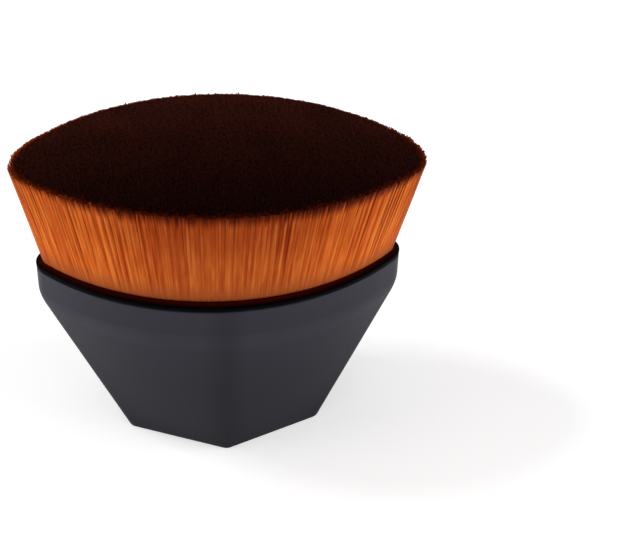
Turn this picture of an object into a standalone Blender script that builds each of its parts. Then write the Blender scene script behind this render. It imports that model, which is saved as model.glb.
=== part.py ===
"""Foundation brush: a short faceted handle with a petal-shaped head of dense bristles.

The handle is a hollow moulding that flares from a six-sided foot to a petal-shaped mouth.
A cup with a thin flange closes the mouth, and the bristle roots are potted in that cup.
Everything is in metres with +Z up: the foot stands on z = 0 with the origin under its middle,
X runs along the petal, Y across it, and the object is the same on both sides of X and of Y.
"""

import math
from dataclasses import dataclass

import bmesh
import bpy
import numpy as np

MM = 0.001

# Fits between pieces
GAP = 0.3 * MM

# Petal-shaped mouth of the handle
MOUTH_HALF_LENGTH = 27.4 * MM
MOUTH_HALF_WIDTH = 13.95 * MM
MOUTH_END_RADIUS = 2.7 * MM

# Six-sided foot of the handle: flats at both ends, an edge at the front and at the back
FOOT_HALF_LENGTH = 14.8 * MM
FOOT_FLAT_HALF_WIDTH = 8.3 * MM
FOOT_HALF_WIDTH = 14.85 * MM
FOOT_CORNER_RADIUS = 1.4 * MM
FOOT_CHAMFER = 0.3 * MM

# Handle shell: facets up to a crease, then an upright band up to the lip
SHELL_HEIGHT = 25.9 * MM
BAND_HEIGHT = 4.85 * MM
CREASE_BLEND = 1.7 * MM
SHELL_WALL = 1.6 * MM
SHELL_FLOOR = 2.0 * MM
INNER_FILLET = 0.8 * MM
LIP_WALL = 0.8 * MM
LIP_ROUND = 0.2 * MM

# Bristle cup that hangs in the mouth by its flange
CUP_WALL = 0.6 * MM
CUP_FLOOR = 0.8 * MM
CUP_DEPTH = 8.0 * MM
CUP_CHAMFER = 0.3 * MM
FLANGE_THICKNESS = 0.5 * MM
FLANGE_OVERHANG = 0.15 * MM
FLANGE_ROUND = 0.15 * MM

# Adhesive under the cup
GLUE_WIDTH = 1.5 * MM
GLUE_HEIGHT = 1.2 * MM

# Bristle head
HEAD_HALF_LENGTH = 30.3 * MM
HEAD_HALF_WIDTH = 17.6 * MM
HEAD_END_RADIUS = 7.9 * MM
HEAD_HEIGHT = 46.5 * MM
HEAD_DROP_AT_ENDS = 3.3 * MM
HEAD_DROP_AT_SIDES = 2.0 * MM
DARK_TIP_LENGTH = 2.0 * MM
ROOT_DEPTH = 3.3 * MM
SPREAD_HEIGHT = 1.1 * MM
SPREAD_INSET = 0.95 * MM
STRAND_MARGIN = 0.15 * MM
STRAND_PITCH = 2.13 * MM
STRAND_SCATTER = 0.3 * MM
COLUMN_SWAY = 0.5 * MM
COLUMN_WAVES = 4
STRAND_FILL_SHARE = 0.88
STRAND_POINT_SHARE = 0.88
GOLDEN_SHARE = (math.sqrt(5) - 1) / 2

# Points along one quarter of a handle section: half the front corner, the long facet,
# the end corner and half the end flat, and where those stretches end on the petal
QUARTER_STEPS = (3, 7, 5, 2)
PETAL_STRETCH_SHARES = (0, 0.035, 0.9, 0.975, 1)
FACET_STEPS = 5
BLEND_STEPS = 4
SMOOTH_ANGLE = math.radians(30)

# Heights that follow from the sizes above
CREASE_HEIGHT = SHELL_HEIGHT - BAND_HEIGHT
FLANGE_UNDERSIDE = SHELL_HEIGHT + GAP
FLANGE_TOP = FLANGE_UNDERSIDE + FLANGE_THICKNESS
CUP_UNDERSIDE = FLANGE_TOP - CUP_DEPTH
CUP_FLOOR_TOP = CUP_UNDERSIDE + CUP_FLOOR
SHOULDER_HEIGHT = CUP_UNDERSIDE - GAP
BACKING_TOP = FLANGE_TOP + SPREAD_HEIGHT
BACKING_UNDERSIDE = FLANGE_TOP - ROOT_DEPTH
FACET_TOP = CREASE_HEIGHT - CREASE_BLEND
BAND_START = CREASE_HEIGHT + CREASE_BLEND

# Insets from the outside of the handle that follow from the walls and the fits
CUP_OUTSIDE = LIP_WALL + GAP
CUP_INSIDE = CUP_OUTSIDE + CUP_WALL
POTTING_OUTSIDE = CUP_INSIDE + GAP
STRANDS_OUTSIDE = SPREAD_INSET + STRAND_MARGIN


@dataclass(frozen=True)
class Petal:
    """Two equal arcs, front and back, whose meeting ends on the X axis are rounded."""

    half_length: float
    half_width: float
    end_radius: float

    @property
    def end_centre(self):
        """Distance from the middle to the centre of an end's rounding."""
        return self.half_length - self.end_radius

    @property
    def arc_centre(self):
        """Distance from the X axis to the centre of the front arc, which lies behind it."""
        bulge = self.half_width - self.end_radius
        return (self.end_centre**2 - bulge**2) / (2 * bulge)

    def measures(self, inset):
        """Arc radius, end radius and arc sweep of the petal drawn in by an inset."""
        arc_radius = self.arc_centre + self.half_width - inset
        end_radius = max(self.end_radius - inset, 0)
        reach = self.end_centre if end_radius else math.sqrt(arc_radius**2 - self.arc_centre**2)
        return arc_radius, end_radius, math.asin(reach / (arc_radius - end_radius))

    def quarter(self, shares, inset):
        """Points at shares of the way from the front middle to the right-hand end."""
        arc_radius, end_radius, sweep = self.measures(inset)
        arc_length = arc_radius * sweep
        end_sweep = math.pi / 2 - sweep
        along = np.asarray(shares) * (arc_length + end_radius * end_sweep)
        past = np.clip(along - arc_length, 0, None)
        angle = np.minimum(along, arc_length) / arc_radius
        if end_radius:
            angle = angle + past / end_radius
        on_end = (past > 0)[:, None]
        direction = np.stack([np.sin(angle), -np.cos(angle)], axis=1)
        from_arc = np.array([0, self.arc_centre]) + arc_radius * direction
        from_end = np.array([self.end_centre, 0]) + end_radius * direction
        return np.where(on_end, from_end, from_arc)

    def half_width_at(self, x, inset):
        """Half the petal's width, drawn in by an inset, at distance x along it."""
        arc_radius, end_radius, sweep = self.measures(inset)
        x = np.abs(x)
        on_arc = np.sqrt(np.clip(arc_radius**2 - x**2, 0, None)) - self.arc_centre
        on_end = np.sqrt(np.clip(end_radius**2 - (x - self.end_centre)**2, 0, None))
        return np.where(x <= arc_radius * math.sin(sweep), on_arc, on_end)


@dataclass(frozen=True)
class Hexagon:
    """Six-sided outline with flats square to X, edges on the Y axis and rounded corners."""

    half_length: float
    flat_half_width: float
    half_width: float
    corner_radius: float

    def quarter(self, steps, inset):
        """Points from the front middle to the middle of the right-hand flat, drawn in."""
        lean = math.atan2(self.half_width - self.flat_half_width, self.half_length)
        radius = max(self.corner_radius - inset, INNER_FILLET)
        flat = self.half_length - inset
        front = self.half_width - inset / math.cos(lean)
        front_centre = np.array([0, radius / math.cos(lean) - front])
        end_centre_x = flat - radius
        end_centre_y = (end_centre_x * math.sin(lean) + radius) / math.cos(lean) - front
        end_centre = np.array([end_centre_x, end_centre_y])
        front_corner = arc(front_centre, radius, 0, lean, steps[0])
        end_corner = arc(end_centre, radius, lean, math.pi / 2, steps[2])
        facet = straight(front_corner[-1], end_corner[0], steps[1])
        half_flat = straight(end_corner[-1], np.array([flat, 0]), steps[3])
        return np.vstack([front_corner, facet[1:], end_corner[1:], half_flat[1:]])


def arc(centre, radius, start, end, steps):
    """Points on an arc, with angles counted from straight ahead (-Y) towards +X."""
    angle = np.linspace(start, end, steps + 1)
    return centre + radius * np.stack([np.sin(angle), -np.cos(angle)], axis=1)


def straight(start, end, steps):
    """Equally spaced points from start to end."""
    return start + np.linspace(0, 1, steps + 1)[:, None] * (end - start)


MOUTH = Petal(MOUTH_HALF_LENGTH, MOUTH_HALF_WIDTH, MOUTH_END_RADIUS)
HEAD = Petal(HEAD_HALF_LENGTH, HEAD_HALF_WIDTH, HEAD_END_RADIUS)
FOOT = Hexagon(FOOT_HALF_LENGTH, FOOT_FLAT_HALF_WIDTH, FOOT_HALF_WIDTH, FOOT_CORNER_RADIUS)


def petal_shares():
    """Shares along a quarter of the petal that match the hexagon's points one to one."""
    shares = [0]
    for steps, start, end in zip(QUARTER_STEPS, PETAL_STRETCH_SHARES, PETAL_STRETCH_SHARES[1:]):
        shares.extend(np.linspace(start, end, steps + 1)[1:])
    return shares


def mirrored(quarter):
    """A whole outline from its front right quarter, counter-clockwise from the front middle."""
    back_right = quarter[::-1] * (1, -1)
    back_left = quarter * (-1, -1)
    front_left = quarter[::-1] * (-1, 1)
    return np.vstack([quarter[:-1], back_right[:-1], back_left[:-1], front_left[:-1]])


def rise_share(height):
    """How far a section has changed from the foot's hexagon to the mouth's petal.

    It grows evenly up the facets and is rounded over, as a parabola, into the upright band.
    """
    if height >= BAND_START:
        return 1
    if height <= FACET_TOP:
        return height / CREASE_HEIGHT
    return 1 - (BAND_START - height)**2 / (4 * CREASE_BLEND * CREASE_HEIGHT)


def section(height, inset):
    """Ring of points on the handle at a height, drawn in from its outside by an inset."""
    share = rise_share(height)
    foot = FOOT.quarter(QUARTER_STEPS, inset)
    mouth = MOUTH.quarter(petal_shares(), inset)
    outline = mirrored((1 - share) * foot + share * mouth)
    return np.column_stack([outline, np.full(len(outline), height)])


def facet_heights(low, high):
    """Heights of the rings between two levels: even up the facets, closer over the crease."""
    facets = np.linspace(FOOT_CHAMFER, FACET_TOP, FACET_STEPS + 1)
    crease = np.linspace(FACET_TOP, BAND_START, BLEND_STEPS + 1)[1:]
    return [height for height in [*facets, *crease] if low < height < high]


def wall(low, high, inset):
    """Levels of a wall that keeps one inset, from its lower to its upper edge."""
    heights = [low, *facet_heights(low, high), high]
    return [(height, inset) for height in heights]


def loft(levels, ring_shaped=False):
    """Vertices and faces of a skin through the handle's sections at (height, inset) levels.

    The levels go up the outside and down the inside. Both ends are closed with a flat face,
    or joined to each other where the piece is a ring.
    """
    rings = [section(height, inset) for height, inset in levels]
    count = len(rings[0])
    pairs = list(zip(range(len(rings)), range(1, len(rings))))
    if ring_shaped:
        pairs.append((len(rings) - 1, 0))
    faces = []
    for lower, upper in pairs:
        for point in range(count):
            following = (point + 1) % count
            faces.append((
                lower * count + point,
                lower * count + following,
                upper * count + following,
                upper * count + point,
            ))
    if not ring_shaped:
        last = (len(rings) - 1) * count
        faces.append(tuple(range(count))[::-1])
        faces.append(tuple(range(last, last + count)))
    return np.vstack(rings), faces


def plastic(name, colour, roughness):
    """A Principled material for a plastic, resin or fibre."""
    material = bpy.data.materials.new(name)
    material.use_nodes = True
    shader = material.node_tree.nodes["Principled BSDF"]
    shader.inputs["Base Color"].default_value = (*colour, 1)
    shader.inputs["Roughness"].default_value = roughness
    shader.inputs["Metallic"].default_value = 0
    material.diffuse_color = (*colour, 1)
    return material


def add_piece(collection, name, vertices, faces, materials):
    """A named object at the origin with its place in its mesh."""
    mesh = bpy.data.meshes.new(name)
    mesh.from_pydata(vertices.tolist(), [], faces)
    for material in materials:
        mesh.materials.append(material)
    mesh.shade_smooth()
    mesh.set_sharp_from_angle(angle=SMOOTH_ANGLE)
    piece = bpy.data.objects.new(name, mesh)
    collection.objects.link(piece)
    return piece


def build_handle_shell(collection):
    """Hollow moulding with a flat foot, a shoulder for the cup and a thin lip above it."""
    inner_floor = SHELL_FLOOR + INNER_FILLET
    levels = [(0, FOOT_CHAMFER)]
    levels += wall(FOOT_CHAMFER, SHELL_HEIGHT - LIP_ROUND, 0)
    levels += [(SHELL_HEIGHT, LIP_ROUND)]
    levels += wall(SHOULDER_HEIGHT, SHELL_HEIGHT, LIP_WALL)[::-1]
    levels += wall(inner_floor, SHOULDER_HEIGHT, SHELL_WALL)[::-1]
    levels += [(SHELL_FLOOR, SHELL_WALL + INNER_FILLET)]
    charcoal = plastic("charcoal_soft_touch", (0.045, 0.045, 0.05), 0.42)
    return add_piece(collection, "handle_shell", *loft(levels), [charcoal])


def build_bristle_cup(collection):
    """Thin-walled cup that nests in the lip and stands on it with a narrow rounded flange."""
    edge = -FLANGE_OVERHANG
    levels = [(CUP_UNDERSIDE, CUP_OUTSIDE + CUP_CHAMFER)]
    levels += wall(CUP_UNDERSIDE + CUP_CHAMFER, FLANGE_UNDERSIDE, CUP_OUTSIDE)
    levels += [(FLANGE_UNDERSIDE, edge + FLANGE_ROUND)]
    levels += [(FLANGE_UNDERSIDE + FLANGE_ROUND, edge)]
    levels += [(FLANGE_TOP - FLANGE_ROUND, edge)]
    levels += [(FLANGE_TOP, edge + FLANGE_ROUND)]
    levels += [(FLANGE_TOP, CUP_INSIDE - FLANGE_ROUND)]
    levels += wall(CUP_FLOOR_TOP, FLANGE_TOP - FLANGE_ROUND, CUP_INSIDE)[::-1]
    black = plastic("gloss_black", (0.008, 0.008, 0.009), 0.12)
    return add_piece(collection, "bristle_cup", *loft(levels), [black])


def build_glue_bead(collection):
    """Ring of set adhesive in the corner under the cup, against the shell's wall."""
    outside = SHELL_WALL + GAP
    inside = outside + GLUE_WIDTH
    low = SHOULDER_HEIGHT - GLUE_HEIGHT
    levels = wall(low, SHOULDER_HEIGHT, outside) + wall(low, SHOULDER_HEIGHT, inside)[::-1]
    adhesive = plastic("set_adhesive", (0.75, 0.72, 0.62), 0.35)
    return add_piece(collection, "glue_bead", *loft(levels, ring_shaped=True), [adhesive])


def build_resin_bed(collection):
    """Cast resin that fills the bottom of the cup and holds the bristle roots."""
    levels = wall(CUP_FLOOR_TOP + GAP, BACKING_UNDERSIDE - GAP, POTTING_OUTSIDE)
    resin = plastic("potting_resin", (0.3, 0.16, 0.05), 0.2)
    return add_piece(collection, "resin_bed", *loft(levels), [resin])


def head_height(x, y):
    """Height of the crowned top of the head over a place in plan."""
    end_drop = HEAD_DROP_AT_ENDS * (x / HEAD_HALF_LENGTH)**2
    side_drop = HEAD_DROP_AT_SIDES * (y / HEAD_HALF_WIDTH)**2
    return HEAD_HEIGHT - end_drop - side_drop


def neck_place(x, y):
    """Where a strand whose top is at (x, y) leaves the roots, so that outline meets outline."""
    neck_half_length = MOUTH_HALF_LENGTH - STRANDS_OUTSIDE
    neck_x = x * neck_half_length / HEAD_HALF_LENGTH
    head_width = HEAD.half_width_at(x, 0)
    neck_width = MOUTH.half_width_at(neck_x, STRANDS_OUTSIDE)
    return neck_x, y * neck_width / head_width


def strand_corners():
    """Plan corners of every strand at the top of the head, as an array of quads.

    Columns of equal width cross the petal, and each column is cut into as many strands as
    its own length holds, so that the outer strands follow the outline. The columns sway
    together from side to side, less towards the ends, so that no straight gap runs through.
    """
    columns = round(2 * HEAD_HALF_LENGTH / STRAND_PITCH)
    column_width = 2 * HEAD_HALF_LENGTH / columns
    quads = []
    for column in range(columns):
        middle = (column + 0.5) * column_width - HEAD_HALF_LENGTH
        left = middle - STRAND_FILL_SHARE * column_width / 2
        right = middle + STRAND_FILL_SHARE * column_width / 2
        rows = max(round(2 * float(HEAD.half_width_at(middle, 0)) / STRAND_PITCH), 2)
        depth_share = STRAND_FILL_SHARE / rows
        step_share = (1 - depth_share) / (rows - 1)
        for row in range(rows):
            near_share = row * step_share
            far_share = near_share + depth_share
            quad = []
            for x, share in ((left, near_share), (right, near_share),
                             (right, far_share), (left, far_share)):
                across_share = 2 * share - 1
                reach_share = 1 - (x / HEAD_HALF_LENGTH)**2
                sway = COLUMN_SWAY * reach_share * math.sin(COLUMN_WAVES * math.pi * across_share)
                swayed = x + sway
                quad.append((swayed, across_share * float(HEAD.half_width_at(swayed, 0))))
            quads.append(quad)
    return np.array(quads)


def strand_rings(top_corners):
    """Corner rings of every strand from its foot to its tip, as (strand, level, corner, xyz).

    A strand is straight from the bound roots to the dark line, and its dark tip then
    narrows. Scattered lengths keep the top from looking sheared.
    """
    middle = top_corners.mean(axis=1)
    scatter_share = np.arange(len(middle)) * GOLDEN_SHARE % 1
    tip = head_height(middle[:, 0], middle[:, 1]) - STRAND_SCATTER * scatter_share
    neck_corners = np.stack(neck_place(top_corners[..., 0], top_corners[..., 1]), axis=-1)
    pointed = middle[:, None] + STRAND_POINT_SHARE * (top_corners - middle[:, None])
    levels = []
    for height in (np.full_like(tip, BACKING_TOP), tip - DARK_TIP_LENGTH):
        share = ((height - BACKING_TOP) / (tip - BACKING_TOP))[:, None, None]
        levels.append((neck_corners + share * (top_corners - neck_corners), height))
    levels.append((pointed, tip))
    rings = []
    for corners, height in levels:
        upright = np.repeat(height[:, None], corners.shape[1], axis=1)
        rings.append(np.dstack([corners, upright]))
    return np.stack(rings, axis=1)


def ring_edges(body, ring):
    """Edges round a closed ring of vertices, made where they are missing."""
    edges = []
    for start, end in zip(ring, ring[1:] + ring[:1]):
        edges.append(body.edges.get((start, end)) or body.edges.new((start, end)))
    return edges


def join_rings(body, lower, upper):
    """Faces between two rings of equally many vertices, which are returned."""
    faces = []
    count = len(lower)
    for point in range(count):
        following = (point + 1) % count
        quad = (lower[point], lower[following], upper[following], upper[point])
        faces.append(body.faces.new(quad))
    return faces


def build_bristle_tuft(collection):
    """Two-tone strands fused to the slice of bound roots that they rise from.

    The slice stands in the cup and spreads over the flange, clear of it. Its top is one flat
    face filled in round the feet of the strands.
    """
    body = bmesh.new()
    underside = [body.verts.new(point) for point in section(BACKING_UNDERSIDE, POTTING_OUTSIDE)]
    throat = [body.verts.new(point) for point in section(FLANGE_TOP, POTTING_OUTSIDE)]
    rim = [body.verts.new(point) for point in section(BACKING_TOP, SPREAD_INSET)]
    join_rings(body, underside, throat)
    join_rings(body, throat, rim)
    body.faces.new(underside[::-1])
    outline = ring_edges(body, rim)
    strands = strand_rings(strand_corners())
    for strand in strands:
        foot, dark_line, tip = ([body.verts.new(point) for point in ring] for ring in strand)
        join_rings(body, foot, dark_line)
        dark_faces = join_rings(body, dark_line, tip)
        dark_faces.append(body.faces.new(tip))
        for face in dark_faces:
            face.material_index = 1
        outline.extend(ring_edges(body, foot))
    bmesh.ops.triangle_fill(body, use_beauty=True, use_dissolve=False, edges=outline)
    bmesh.ops.recalc_face_normals(body, faces=body.faces)

    mesh = bpy.data.meshes.new("bristle_tuft")
    body.to_mesh(mesh)
    body.free()
    mesh.materials.append(plastic("copper_fibre", (0.48, 0.15, 0.035), 0.5))
    mesh.materials.append(plastic("dark_fibre_tip", (0.02, 0.008, 0.006), 0.6))
    tuft = bpy.data.objects.new("bristle_tuft", mesh)
    collection.objects.link(tuft)
    print(f"bristle_tuft: {len(strands)} strands")
    return tuft


def main():
    """Clear the scene and build the brush, piece by piece."""
    for item in list(bpy.data.objects):
        bpy.data.objects.remove(item, do_unlink=True)
    brush = bpy.data.collections.new("foundation_brush")
    bpy.context.scene.collection.children.link(brush)
    build_handle_shell(brush)
    build_bristle_cup(brush)
    build_glue_bead(brush)
    build_resin_bed(brush)
    build_bristle_tuft(brush)


main()
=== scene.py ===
"""Looks of a short-handled foundation brush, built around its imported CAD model.

The brush stands on a six-sided foot. Its hollow handle flares to a petal-shaped mouth, a
gloss-black cup closes the mouth, and a dense head of straight copper fibres with dark tips
rises out of the cup. Lengths are in metres, +Z is up and X runs along the petal.
"""

import logging
import math
from dataclasses import dataclass
from enum import Enum
from typing import Any

import bpy
import numpy as np
from mathutils import Matrix, Vector


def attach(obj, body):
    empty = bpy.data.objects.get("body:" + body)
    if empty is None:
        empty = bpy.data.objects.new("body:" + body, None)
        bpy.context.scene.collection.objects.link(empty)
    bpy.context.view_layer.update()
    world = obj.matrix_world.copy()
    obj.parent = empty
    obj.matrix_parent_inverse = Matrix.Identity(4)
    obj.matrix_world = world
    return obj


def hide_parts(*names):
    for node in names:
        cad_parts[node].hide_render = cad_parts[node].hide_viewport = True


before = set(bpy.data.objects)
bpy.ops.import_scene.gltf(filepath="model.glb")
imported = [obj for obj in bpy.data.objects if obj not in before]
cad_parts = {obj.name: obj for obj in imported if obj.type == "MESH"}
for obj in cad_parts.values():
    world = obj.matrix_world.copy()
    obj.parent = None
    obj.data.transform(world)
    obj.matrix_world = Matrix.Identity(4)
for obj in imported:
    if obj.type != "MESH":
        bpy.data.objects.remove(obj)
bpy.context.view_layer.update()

LOG = logging.getLogger("foundation_brush")
MM = 0.001
TURN = 2 * math.pi
BAKE_MAP = "OFBake"
SHARP_ANGLE = math.radians(35)
NOISE_ROUGHNESS = 0.55

# The corners of a quad, as steps to the right and up from its lower left one.
QUAD_RIGHT = np.array([0, 1, 1, 0])
QUAD_UP = np.array([0, 0, 1, 1])

Colour = tuple[float, float, float]
Span = tuple[float, float]
Levels = list[tuple[float, float]]
Socket = bpy.types.NodeSocket


class Slot(Enum):
    """Names of the record's material slots."""

    HANDLE = "handle_plastic"
    CUP = "cup_plastic"
    FIBRE = "bristle_fibre"


class Side(Enum):
    """Front or back half of the head, by the sign of Y."""

    FRONT = -1
    BACK = 1


# Outlines


@dataclass(frozen=True)
class Petal:
    """Two equal arcs, front and back, whose meeting ends on the X axis are rounded.

    It is drawn in by insets below the end radius, which leave the roundings' centres, and so
    the angles, where they are.
    """

    half_length: float
    half_width: float
    end_radius: float

    @property
    def end_centre(self) -> float:
        """Distance from the middle to the centre of an end's rounding."""
        return self.half_length - self.end_radius

    @property
    def arc_centre(self) -> float:
        """Distance from the X axis to the centre of the front arc, which lies behind it."""
        bulge = self.half_width - self.end_radius
        return (self.end_centre**2 - bulge**2) / (2 * bulge)

    def measures(self, inset: float) -> tuple[float, float, float]:
        """Arc radius, end radius and sweep of half an arc of the petal drawn in by an inset."""
        arc_radius = self.arc_centre + self.half_width - inset
        end_radius = self.end_radius - inset
        return arc_radius, end_radius, math.asin(self.end_centre / (arc_radius - end_radius))

    def perimeter(self, inset: float) -> float:
        """Length once round the petal drawn in by an inset."""
        arc_radius, end_radius, sweep = self.measures(inset)
        return 4 * (arc_radius * sweep + end_radius * (math.pi / 2 - sweep))

    def quarter(self, shares: np.ndarray, inset: float) -> np.ndarray:
        """Places points on a quarter of the petal.

        The way runs along the front arc first, where the angle is the way over the arc
        radius, and then round the end, where what is left is divided by the end radius.

        Args:
            shares: shares of the way from the front middle to the right-hand end.
            inset: how far the outline is drawn in.

        Returns:
            An array of (x, y) points.
        """
        arc_radius, end_radius, sweep = self.measures(inset)
        arc_length = arc_radius * sweep
        along = np.asarray(shares) * (arc_length + end_radius * (math.pi / 2 - sweep))
        past = np.clip(along - arc_length, 0, None)
        angle = np.minimum(along, arc_length) / arc_radius + past / end_radius
        direction = np.stack([np.sin(angle), -np.cos(angle)], axis=-1)
        from_arc = np.array([0, self.arc_centre]) + arc_radius * direction
        from_end = np.array([self.end_centre, 0]) + end_radius * direction
        return np.where((past > 0)[..., None], from_end, from_arc)

    def around(self, shares: np.ndarray, inset: float) -> np.ndarray:
        """Places points on the whole petal.

        Each share of a turn is folded into the front right quarter, placed there, and
        mirrored back by the signs of its own quarter.

        Args:
            shares: shares of the way round from the front middle, counter-clockwise.
            inset: how far the outline is drawn in.

        Returns:
            An array of (x, y) points.
        """
        fours = (np.asarray(shares) % 1) * 4
        part = np.floor(fours).astype(int) % 4
        local = fours - part
        folded = np.where(part % 2 == 0, local, 1 - local)
        point = self.quarter(folded, inset)
        sign_x = np.array([1, 1, -1, -1])[part]
        sign_y = np.array([1, -1, -1, 1])[part]
        return point * np.stack([sign_x, sign_y], axis=-1)

    def spokes(self, places: np.ndarray) -> tuple[np.ndarray, np.ndarray]:
        """Draws a spoke to each place from the centre of the rounding that it stands behind.

        A place whose direction from the end's centre leans past the sweep belongs to the
        end's rounding, and any other to the arc on its side of the X axis.

        Args:
            places: (x, y) places inside the petal.

        Returns:
            The spokes (x, y), and how far inside the petal each place lies, which is its
            rounding's radius less the spoke's length.
        """
        arc_radius, end_radius, sweep = self.measures(0)
        folded = np.abs(places)
        from_end = folded - (self.end_centre, 0)
        from_arc = folded + (0, self.arc_centre)
        at_end = np.arctan2(from_end[:, 0], from_end[:, 1]) > sweep
        spoke = np.where(at_end[:, None], from_end, from_arc)
        radius = np.where(at_end, end_radius, arc_radius)
        inset = radius - np.linalg.norm(spoke, axis=1)
        return spoke * np.where(places < 0, -1, 1), inset

    def half_width_at(self, x: np.ndarray, inset: float) -> np.ndarray:
        """Measures half the petal's width.

        Args:
            x: places along the petal.
            inset: how far the outline is drawn in.

        Returns:
            The half width at each x, from the circle of the arc or of the end, and 0 past it.
        """
        arc_radius, end_radius, sweep = self.measures(inset)
        x = np.abs(x)
        on_arc = np.sqrt(np.clip(arc_radius**2 - x**2, 0, None)) - self.arc_centre
        on_end = np.sqrt(np.clip(end_radius**2 - (x - self.end_centre) ** 2, 0, None))
        return np.where(x <= arc_radius * math.sin(sweep), on_arc, on_end)


@dataclass(frozen=True)
class Hexagon:
    """Six-sided outline with flats square to X, edges on the Y axis and rounded corners."""

    half_length: float
    flat_half_width: float
    half_width: float
    corner_radius: float
    least_radius: float

    def quarter(self, steps: tuple[int, int, int, int], inset: float) -> np.ndarray:
        """Places points from the front middle to the middle of the right-hand flat.

        Args:
            steps: steps in half the front corner, the facet, the end corner, half the flat.
            inset: how far the outline is drawn in.

        Returns:
            An array of (x, y) points.
        """
        lean = math.atan2(self.half_width - self.flat_half_width, self.half_length)
        radius = max(self.corner_radius - inset, self.least_radius)
        flat = self.half_length - inset
        front = self.half_width - inset / math.cos(lean)
        front_centre = np.array([0, radius / math.cos(lean) - front])
        end_x = flat - radius
        end_y = (end_x * math.sin(lean) + radius) / math.cos(lean) - front
        front_corner = self.arc(front_centre, radius, 0, lean, steps[0])
        end_corner = self.arc(np.array([end_x, end_y]), radius, lean, math.pi / 2, steps[2])
        facet = self.straight(front_corner[-1], end_corner[0], steps[1])
        half_flat = self.straight(end_corner[-1], np.array([flat, 0]), steps[3])
        return np.vstack([front_corner, facet[1:], end_corner[1:], half_flat[1:]])

    @staticmethod
    def arc(centre: np.ndarray, radius: float, start: float, end: float, steps: int) -> np.ndarray:
        """Points on an arc, with angles counted from straight ahead (-Y) towards +X."""
        angle = np.linspace(start, end, steps + 1)
        return centre + radius * np.stack([np.sin(angle), -np.cos(angle)], axis=1)

    @staticmethod
    def straight(start: np.ndarray, end: np.ndarray, steps: int) -> np.ndarray:
        """Equally spaced points from start to end."""
        return start + np.linspace(0, 1, steps + 1)[:, None] * (end - start)


# Meshes


def lofted_piece(name: str, rings: np.ndarray,
                 material: bpy.types.Material) -> bpy.types.Object:
    """Joins rings of points into a closed piece at the origin, and ties it to the frame.

    Ring r and ring r + 1 are joined point by point with quads, and the two open ends get
    one flat face each.

    Args:
        name: the piece's name.
        rings: array of shape (rings, points, 3), counter-clockwise seen from above, where the
            rings climb the outside first.
        material: the finish.

    Returns:
        The new object, which rides on the root body.
    """
    count, around = rings.shape[:2]
    here = np.arange(around)
    lower = np.arange(count - 1)[:, None, None]
    quads = (lower + QUAD_UP) * around + (here[:, None] + QUAD_RIGHT) % around
    ends = [here[::-1].tolist(), ((count - 1) * around + here).tolist()]
    mesh = bpy.data.meshes.new(name)
    mesh.from_pydata(rings.reshape(-1, 3).tolist(), [], quads.reshape(-1, 4).tolist() + ends)
    mesh.materials.append(material)
    mesh.shade_smooth()
    mesh.set_sharp_from_angle(angle=SHARP_ANGLE)
    return tied_piece(name, mesh)


def added(name: str, data: bpy.types.ID) -> bpy.types.Object:
    """Adds an object for a mesh, a lamp or a camera to the scene."""
    thing = bpy.data.objects.new(name, data)
    bpy.context.scene.collection.objects.link(thing)
    return thing


def tied_piece(name: str, mesh: bpy.types.Mesh) -> bpy.types.Object:
    """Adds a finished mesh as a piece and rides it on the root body."""
    piece = added(name, mesh)
    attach(piece, "root")
    LOG.info("%s: %d faces", name, len(mesh.polygons))
    return piece


def carry(mesh: bpy.types.Mesh, label: str, values: np.ndarray) -> None:
    """Writes a number, or a vector, for each of the mesh's points under a name."""
    kind, key = ("FLOAT", "value") if values.ndim == 1 else ("FLOAT_VECTOR", "vector")
    carried = mesh.attributes.new(label, kind, "POINT")
    carried.data.foreach_set(key, values.astype(np.float32).ravel())


def smooth_step(value: np.ndarray) -> np.ndarray:
    """Eases a value from 0 to 1: three times its square less twice its cube."""
    value = np.clip(value, 0, 1)
    return value * value * (3 - 2 * value)


@dataclass(frozen=True)
class Ripples:
    """Smooth noise over the plan, a sum of plane waves in random directions."""

    shortest: float
    longest: float
    waves: int
    seed: int

    def spectrum(self) -> tuple[np.ndarray, np.ndarray]:
        """Draws the wave vectors, with evenly spread wavelengths, and their phases."""
        draw = np.random.default_rng(self.seed)
        wavelength = draw.uniform(self.shortest, self.longest, self.waves)
        heading = draw.uniform(0, TURN, self.waves)
        vector = np.stack([np.cos(heading), np.sin(heading)], axis=1) * (TURN / wavelength)[:, None]
        return vector, draw.uniform(0, TURN, self.waves)

    def value(self, places: np.ndarray) -> np.ndarray:
        """Noise at each place: the waves' cosines summed, with a spread of about one."""
        vector, phase = self.spectrum()
        return np.cos(places @ vector.T + phase).sum(axis=1) * math.sqrt(2 / self.waves)

    def gather(self, places: np.ndarray) -> np.ndarray:
        """Pull towards the middle of each clump.

        Every wave pushes a place along its own direction by its sine, so that places drift
        from its troughs to its crests.

        Args:
            places: array of (x, y) points.

        Returns:
            An array of (x, y) shifts with a spread of about one.
        """
        vector, phase = self.spectrum()
        unit = vector / np.linalg.norm(vector, axis=1)[:, None]
        return -np.sin(places @ vector.T + phase) @ unit * math.sqrt(2 / self.waves)


# Finishes


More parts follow.
